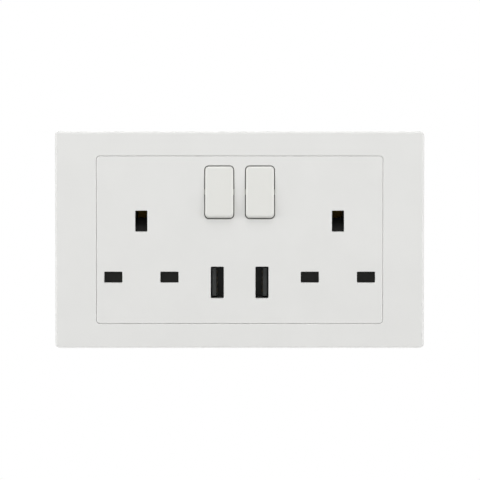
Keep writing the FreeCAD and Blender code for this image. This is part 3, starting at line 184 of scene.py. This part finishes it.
def worked_metal(name, shades, grain, gloss, grain_height):
    """A metal with the grain of how it was worked. grain gives the marks' size along X, Y and Z
    in millimetres, grain_height is in millimetres too, and gloss is the range of roughness."""
    dark, light = shades
    material, tree, place = blank(name)
    stretch = add(
        tree,
        "ShaderNodeMapping",
        {"Scale": [per_metre(size) for size in grain]},
        {"Vector": (place, "Object")},
    )
    marks = add(tree, "ShaderNodeTexNoise", {"Scale": 1.0, "Detail": 4.0}, {"Vector": (stretch, "Vector")})
    tint = add(
        tree,
        "ShaderNodeValToRGB",
        {"stops": [(0.3, linear(dark)), (0.7, linear(light))]},
        {"Fac": (marks, "Fac")},
    )
    shine = add(
        tree,
        "ShaderNodeMapRange",
        {"To Min": gloss[0], "To Max": gloss[1]},
        {"Value": (marks, "Fac")},
    )
    bump = add(tree, "ShaderNodeBump", {"Distance": grain_height * MM}, {"Height": (marks, "Fac")})
    surface = add(
        tree,
        "ShaderNodeBsdfPrincipled",
        {"Metallic": 1.0},
        {"Base Color": (tint, "Color"), "Roughness": (shine, "Result"), "Normal": (bump, "Normal")},
    )
    add(tree, "ShaderNodeOutputMaterial", links={"Surface": (surface, "BSDF")})
    return material


# Urea, pressed in a polished tool: a dense neutral white with a soft shine and a faint peel.
plate_white = moulded(
    "urea_pressed_white", ("#e1e1df", "#e3e3e1"),
    cloud=16, gloss=(0.30, 0.36), peel=0.9, peel_height=0.002, ior=1.55,
)
# Polycarbonate, moulded in a polished tool: the same white, a little glossier.
frame_white = moulded(
    "polycarbonate_moulded_white", ("#e1e1df", "#e3e3e1"),
    cloud=20, gloss=(0.26, 0.32), peel=1.1, peel_height=0.002, ior=1.585,
)
# Urea again for the rockers: warmer in tone and smooth under the finger. Its white is a shade deeper as
# painted shade, which offsets the extra light that the proud rockers catch.
rocker_white_painted_shade = moulded(
    "urea_pressed_warm_white_painted_shade", ("#dfdfdb", "#e0e0dc"),
    cloud=12, gloss=(0.28, 0.33), peel=0.8, peel_height=0.0015, ior=1.55,
)
# Glass-filled polyamide in a spark-eroded tool: light grey, matt and finely sanded.
housing_grey = moulded(
    "polyamide_spark_grained_grey", ("#c7c7c3", "#cccccb"),
    cloud=16, gloss=(0.48, 0.58), peel=0.35, peel_height=0.012, ior=1.53,
)
# Plain polyamide: mid grey, waxy and even.
inner_grey = moulded(
    "polyamide_moulded_grey", ("#85888a", "#92959a"),
    cloud=6, gloss=(0.40, 0.48), peel=0.5, peel_height=0.003, ior=1.53,
)
# Acetal in a finely etched tool: black, slippery and dull.
shutter_black = moulded(
    "acetal_moulded_black", ("#171715", "#1d1d1b"),
    cloud=5, gloss=(0.56, 0.64), peel=0.5, peel_height=0.002, ior=1.48, mirror=0.2,
)
# Polyester, heat resistant: a greyer black with a dull skin.
tongue_black = moulded(
    "polyester_moulded_black", ("#363837", "#3f4140"),
    cloud=3, gloss=(0.45, 0.55), peel=0.3, peel_height=0.003, ior=1.57, mirror=0.3,
)
# Epoxy round a chip: black, matt, with a fine sand-like skin.
chip_black = moulded(
    "epoxy_moulded_black", ("#232425", "#2b2c2e"),
    cloud=1.5, gloss=(0.55, 0.65), peel=0.12, peel_height=0.004, ior=1.55,
)
# Shrunk vinyl sleeve: dark blue, smooth and glossy.
sleeve_blue = moulded(
    "vinyl_shrunk_dark_blue", ("#1c2740", "#24345a"),
    cloud=4, gloss=(0.22, 0.30), peel=0.6, peel_height=0.003, ior=1.54,
)
# Polyester tape wound on the coil: amber yellow, smooth, with shallow wrinkles.
tape_yellow = moulded(
    "polyester_tape_yellow", ("#cf9a24", "#e0b03c"),
    cloud=2.5, gloss=(0.28, 0.38), peel=1.2, peel_height=0.01, ior=1.64,
)
# Ferrite, pressed and sintered: charcoal grey, dull and grainy.
core_ferrite = moulded(
    "ferrite_sintered_charcoal", ("#333436", "#45464a"),
    cloud=0.8, gloss=(0.62, 0.75), peel=0.2, peel_height=0.01, ior=2.0,
)

# Brass strip, rolled, stamped and tumbled: dull yellow, with long fine lines along the strip.
strip_brass = worked_metal(
    "brass_rolled_tumbled", ("#97782f", "#b39045"),
    grain=(6, 0.3, 0.3), gloss=(0.50, 0.62), grain_height=0.001,
)
# Brass bar, drawn and sawn: paler and brighter, with fine lines along the bar.
block_brass = worked_metal(
    "brass_drawn_sawn", ("#bda65c", "#d2be7c"),
    grain=(0.25, 0.25, 4), gloss=(0.26, 0.38), grain_height=0.002,
)
# Silver alloy, coined: pale and nearly smooth, with a faint tarnish.
button_silver = worked_metal(
    "silver_alloy_coined", ("#bfbcb5", "#d8d6d1"),
    grain=(0.8, 0.8, 0.8), gloss=(0.22, 0.32), grain_height=0.001,
)
# Steel sheet, tinned and folded: pale grey with a soft cloudy shine.
can_tinned = worked_metal(
    "steel_tinned_folded", ("#a9aaa8", "#c2c3c1"),
    grain=(1.2, 3, 1.2), gloss=(0.26, 0.38), grain_height=0.001,
)
# Phosphor bronze, stamped: a dull warm brown with fine lines along each contact. The metal's own tone is
# darkened further as painted shade for the dim inside of the USB ports.
contact_bronze_painted_shade = worked_metal(
    "bronze_stamped_painted_shade", ("#6a5330", "#806640"),
    grain=(0.4, 3, 0.4), gloss=(0.34, 0.46), grain_height=0.001,
)
# Spring steel, drawn: dark grey with fine drawing marks.
spring_steel = worked_metal(
    "steel_drawn_wire", ("#77797c", "#9a9ca0"),
    grain=(0.6, 0.6, 0.2), gloss=(0.26, 0.36), grain_height=0.002,
)


def zinc_screws(cloud, thread_pitch, thread_height):
    """Steel, headed, thread-rolled and zinc plated: a cloudy bluish grey, with the thread's ridges
    round each shank. The sizes are in millimetres."""
    material, tree, place = blank("steel_zinc_plated_rolled")
    clouds = add(
        tree,
        "ShaderNodeTexNoise",
        {"Scale": per_metre(cloud), "Detail": 3.0},
        {"Vector": (place, "Object")},
    )
    tint = add(
        tree,
        "ShaderNodeValToRGB",
        {"stops": [(0.3, linear("#a3a8ad")), (0.7, linear("#bcc1c6"))]},
        {"Fac": (clouds, "Fac")},
    )
    shine = add(tree, "ShaderNodeMapRange", {"To Min": 0.24, "To Max": 0.36}, {"Value": (clouds, "Fac")})
    thread = add(
        tree,
        "ShaderNodeTexWave",
        {"bands_direction": "Y", "Scale": bands_per_metre(thread_pitch), "Distortion": 0.0},
        {"Vector": (place, "Object")},
    )
    bump = add(
        tree,
        "ShaderNodeBump",
        {"Distance": thread_height * MM, "Strength": 0.6},
        {"Height": (thread, "Fac")},
    )
    surface = add(
        tree,
        "ShaderNodeBsdfPrincipled",
        {"Metallic": 1.0},
        {"Base Color": (tint, "Color"), "Roughness": (shine, "Result"), "Normal": (bump, "Normal")},
    )
    add(tree, "ShaderNodeOutputMaterial", links={"Surface": (surface, "BSDF")})
    return material


def laminate_board(weave, weave_height):
    """Glass-fibre laminate under green lacquer: a woven look just under a glossy coat.
    The sizes are in millimetres."""
    material, tree, place = blank("glass_fibre_laminate_green")
    warp, weft = [
        add(
            tree,
            "ShaderNodeTexWave",
            {"bands_direction": way, "Scale": bands_per_metre(weave), "Distortion": 0.4},
            {"Vector": (place, "Object")},
        )
        for way in ("X", "Z")
    ]
    cloth = add(
        tree,
        "ShaderNodeMath",
        {"operation": "MULTIPLY"},
        {0: (warp, "Fac"), 1: (weft, "Fac")},
    )
    tint = add(
        tree,
        "ShaderNodeValToRGB",
        {"stops": [(0.0, linear("#17472e")), (1.0, linear("#2b6b47"))]},
        {"Fac": (cloth, "Value")},
    )
    bump = add(tree, "ShaderNodeBump", {"Distance": weave_height * MM}, {"Height": (cloth, "Value")})
    surface = add(
        tree,
        "ShaderNodeBsdfPrincipled",
        {"IOR": 1.5, "Roughness": 0.3},
        {"Base Color": (tint, "Color"), "Normal": (bump, "Normal")},
    )
    add(tree, "ShaderNodeOutputMaterial", links={"Surface": (surface, "BSDF")})
    return material


screw_zinc = zinc_screws(cloud=1.2, thread_pitch=0.8, thread_height=0.12)
# The real weave is 0.25 mm, drawn twice as coarse so that it shows.
board_green = laminate_board(weave=0.5, weave_height=0.004)

finishes = {
    "outer_frame": frame_white,
    "front_plate": plate_white,
    "middle_plate": tongue_black,
    "rear_housing": housing_grey,
    "housing_screws": screw_zinc,
    "terminal_screws": screw_zinc,
    "earth_bar": strip_brass,
    "neutral_bar": strip_brass,
    "live_feed_bar": strip_brass,
    "live_terminal": block_brass,
    "neutral_terminal": block_brass,
    "left_earth_terminal": block_brass,
    "right_earth_terminal": block_brass,
    "usb_board": board_green,
    "usb_chip": chip_black,
    "board_live_pin": contact_bronze_painted_shade,
    "transformer_core": core_ferrite,
    "transformer_coil": tape_yellow,
    "input_capacitor": sleeve_blue,
    "output_capacitor": sleeve_blue,
}
for hand in BOTH:
    finishes |= {
        f"{hand}_rocker": rocker_white_painted_shade,
        f"{hand}_plunger": inner_grey,
        f"{hand}_plunger_spring": spring_steel,
        f"{hand}_moving_contact": strip_brass,
        f"{hand}_moving_button": button_silver,
        f"{hand}_live_strip": strip_brass,
        f"{hand}_fixed_button": button_silver,
        f"{hand}_shutter": shutter_black,
        f"{hand}_shutter_spring": spring_steel,
        f"{hand}_usb_can": can_tinned,
        f"{hand}_usb_tongue": tongue_black,
        f"{hand}_usb_contacts": contact_bronze_painted_shade,
    }
for name, material in finishes.items():
    nodes[name].data.materials.clear()
    nodes[name].data.materials.append(material)


# Wound springs, in place of the plain sleeves

SHUTTER_COIL = {"middle_width": 3.1, "wire": 0.5, "turns": 9}
PLUNGER_COIL = {"middle_width": 2.9, "wire": 0.45, "turns": 9}
BORE_END, PLUNGER_HEAD = -1.0, 6.3  # ends of a plunger's spring along the stem, from the rocker's pivot
TURN_STEPS, WIRE_SIDES = 28, 10  # points round one turn, and round the wire


def wound_spring(name, foot, top, middle_width, wire, turns):
    """A compression spring of round wire from foot to top, with a closed turn at each end."""
    length = (top - foot).length
    along = (top - foot).normalized()
    across = along.orthogonal().normalized()
    sideways = along.cross(across)
    pitch = (length - 3 * wire) / (turns - 2)
    steps = turns * TURN_STEPS
    points, faces = [], []
    for i in range(steps + 1):
        t = i / TURN_STEPS
        closed = min(t, 1) + max(t - turns + 1, 0)
        rise = wire / 2 + closed * wire + (t - closed) * pitch
        outward = across * math.cos(t * math.tau) + sideways * math.sin(t * math.tau)
        centre = foot + along * rise + outward * (middle_width / 2)
        for k in range(WIRE_SIDES):
            angle = k / WIRE_SIDES * math.tau
            round_wire = outward * math.cos(angle) + along * math.sin(angle)
            points.append((centre + round_wire * (wire / 2)) * MM)
    for base in range(0, steps * WIRE_SIDES, WIRE_SIDES):
        for k in range(WIRE_SIDES):
            near, far = base + k, base + (k + 1) % WIRE_SIDES
            faces.append((near, far, far + WIRE_SIDES, near + WIRE_SIDES))
    faces.append(tuple(range(WIRE_SIDES))[::-1])
    faces.append(tuple(range(len(points) - WIRE_SIDES, len(points))))
    mesh = bpy.data.meshes.new(name)
    mesh.from_pydata(points, [], faces)
    mesh.shade_smooth()
    mesh.materials.append(spring_steel)
    return in_scene(name, mesh)


def fit_spring(hand, kind, foot, top, coil):
    """Puts a coil where a plain spring is. It rides as that does."""
    plain, joint = f"{hand}_{kind}_spring", f"{hand}_{kind}_slide"
    spring = wound_spring(f"{hand}_wound_{kind}_spring", foot, top, **coil)
    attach(spring, nodes[plain]["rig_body"])
    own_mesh(spring)
    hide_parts(plain)


for hand in BOTH:
    low, high = (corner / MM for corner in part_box(f"{hand}_shutter_spring"))
    middle = (low + high) / 2
    foot, top = Vector((middle.x, middle.y, low.z)), Vector((middle.x, middle.y, high.z))
    fit_spring(hand, "shutter", foot, top, SHUTTER_COIL)

    pivot = Vector(joints[f"{hand}_rocker_tilt"]["pos_m"]) / MM
    stem = -Vector(joints[f"{hand}_plunger_slide"]["axis"]).normalized()  # from the rocker into the wall
    fit_spring(hand, "plunger", pivot + stem * BORE_END, pivot + stem * PLUNGER_HEAD, PLUNGER_COIL)


# Terminal letters, raised from the mould on the housing's back

LETTER_SIZE = 5.6
LETTER_BOLDNESS = 0.2
LETTER_HEIGHT, LETTER_EDGE = 0.2, 0.08  # straight side, and the rounding above it
LETTER_ROW = 13.2  # how far the letters' middles are above or below the housing's middle


def terminal_letter(name, letter, terminal, row):
    """A letter beside its terminal, read from behind: its x runs left, its y up, and its face
    looks into the wall."""
    curve = bpy.data.curves.new(name, "FONT")
    curve.body = letter
    curve.size = LETTER_SIZE * MM
    curve.align_x, curve.align_y = "CENTER", "CENTER"
    curve.offset = LETTER_BOLDNESS * MM
    curve.extrude = LETTER_HEIGHT * MM
    curve.bevel_depth = LETTER_EDGE * MM
    curve.materials.append(housing_grey)
    mark = in_scene(name, curve)
    low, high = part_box(terminal)
    middle = (low.x + high.x) / 2
    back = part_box("rear_housing")[1].y
    mark.matrix_world = Matrix(((-1, 0, 0, middle), (0, 0, 1, back), (0, 1, 0, row * MM), (0, 0, 0, 1)))
    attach(mark, "socket_body")


terminal_letter("letter_live", "L", "live_terminal", LETTER_ROW)
terminal_letter("letter_left_earth", "E", "left_earth_terminal", LETTER_ROW)
terminal_letter("letter_right_earth", "E", "right_earth_terminal", LETTER_ROW)
terminal_letter("letter_neutral", "N", "neutral_terminal", -LETTER_ROW)


# Light, floor and camera, in metres and watts

WHITE = (1.0, 1.0, 1.0, 1.0)
TENT_STRENGTH, PAPER_STRENGTH = 0.43, 1.0  # light on the socket, and the white that is seen
FLOOR_LEVEL, FLOOR_WIDTH, FLOOR_GLOW = -0.86, 8.0, 0.65
SENSOR_WIDTH = 36.0
FACE = Vector((0, cad_box[0][1], 0))


def facing(place, aim):
    """The turn of a lamp or camera at this place that looks at the aim."""
    return (aim - place).to_track_quat("-Z", "Y").to_euler()


def seen_straight(tree):
    """One for a ray that comes straight, or by a reflection or through glass, from the camera."""
    path = add(tree, "ShaderNodeLightPath")
    straight = add(
        tree,
        "ShaderNodeMath",
        {"operation": "MAXIMUM"},
        {0: (path, "Is Camera Ray"), 1: (path, "Is Glossy Ray")},
    )
    return add(
        tree,
        "ShaderNodeMath",
        {"operation": "MAXIMUM"},
        {0: (straight, "Value"), 1: (path, "Is Transmission Ray")},
    )


def white_tent():
    """A white tent all round: soft even light, and plain white behind the socket."""
    world = bpy.data.worlds.new("white_tent")
    bpy.context.scene.world = world
    world.use_nodes = True
    tree = world.node_tree
    tree.nodes.clear()
    shown = seen_straight(tree)
    light = add(tree, "ShaderNodeBackground", {"Color": WHITE, "Strength": TENT_STRENGTH})
    paper = add(tree, "ShaderNodeBackground", {"Color": WHITE, "Strength": PAPER_STRENGTH})
    both = add(
        tree,
        "ShaderNodeMixShader",
        links={0: (shown, "Value"), 1: (light, "Background"), 2: (paper, "Background")},
    )
    add(tree, "ShaderNodeOutputWorld", links={"Surface": (both, "Shader")})


def pale_floor():
    """A matt paper floor well under the socket, white to the eye and still taking shadows."""
    half = FLOOR_WIDTH / 2
    corners = [(x * half, y * half, FLOOR_LEVEL) for x, y in ((-1, -1), (1, -1), (1, 1), (-1, 1))]
    mesh = bpy.data.meshes.new("floor")
    mesh.from_pydata(corners, [], [(0, 1, 2, 3)])
    material, tree, _ = blank("paper_matt_white")
    shown = seen_straight(tree)
    glow = add(tree, "ShaderNodeMath", {"operation": "MULTIPLY", 1: FLOOR_GLOW}, {0: (shown, "Value")})
    surface = add(
        tree,
        "ShaderNodeBsdfPrincipled",
        {"Base Color": linear("#f2f2f1"), "Roughness": 0.9, "Emission Color": WHITE},
        {"Emission Strength": (glow, "Value")},
    )
    add(tree, "ShaderNodeOutputMaterial", links={"Surface": (surface, "BSDF")})
    mesh.materials.append(material)
    in_scene("floor", mesh)


def soft_box(name, place, width, height, power):
    """A lamp that looks at the socket's face and isn't seen itself."""
    lamp = bpy.data.lights.new(name, "AREA")
    lamp.shape = "RECTANGLE"
    lamp.size, lamp.size_y, lamp.energy = width, height, power
    light = in_scene(name, lamp)
    light.visible_camera = False
    light.location = place
    light.rotation_euler = facing(Vector(place), FACE)


def photo_camera(aim, rise, distance, shown_width):
    """Looks at the plate from a little above, by rise degrees. shown_width is what the picture's
    width covers at the plate."""
    data = bpy.data.cameras.new("camera")
    data.sensor_width = SENSOR_WIDTH
    data.lens = SENSOR_WIDTH * distance / shown_width
    camera = in_scene("camera", data)
    tilt = math.radians(rise)
    camera.location = aim + Vector((0, -math.cos(tilt), math.sin(tilt))) * distance
    camera.rotation_euler = facing(camera.location, aim)
    bpy.context.scene.camera = camera


white_tent()
pale_floor()
soft_box("left_softbox", (-0.87, -0.5, 0.12), width=0.6, height=0.6, power=4.15)
soft_box("right_softbox", (0.87, -0.5, 0.12), width=0.6, height=0.6, power=4.0)
soft_box("top_softbox", (0, -0.55, 0.95), width=0.8, height=0.5, power=4.05)
soft_box("back_softbox", (0, 0.9, 0.55), width=1.5, height=1.0, power=3.9)
soft_box("low_softbox", (0, 0.05, -0.3), width=0.9, height=0.12, power=0.6)
photo_camera(aim=Vector((0.15, -9, 0)) * MM, rise=4.0, distance=2.0, shown_width=189.9 * MM)
bpy.context.scene.view_settings.view_transform = "Standard"
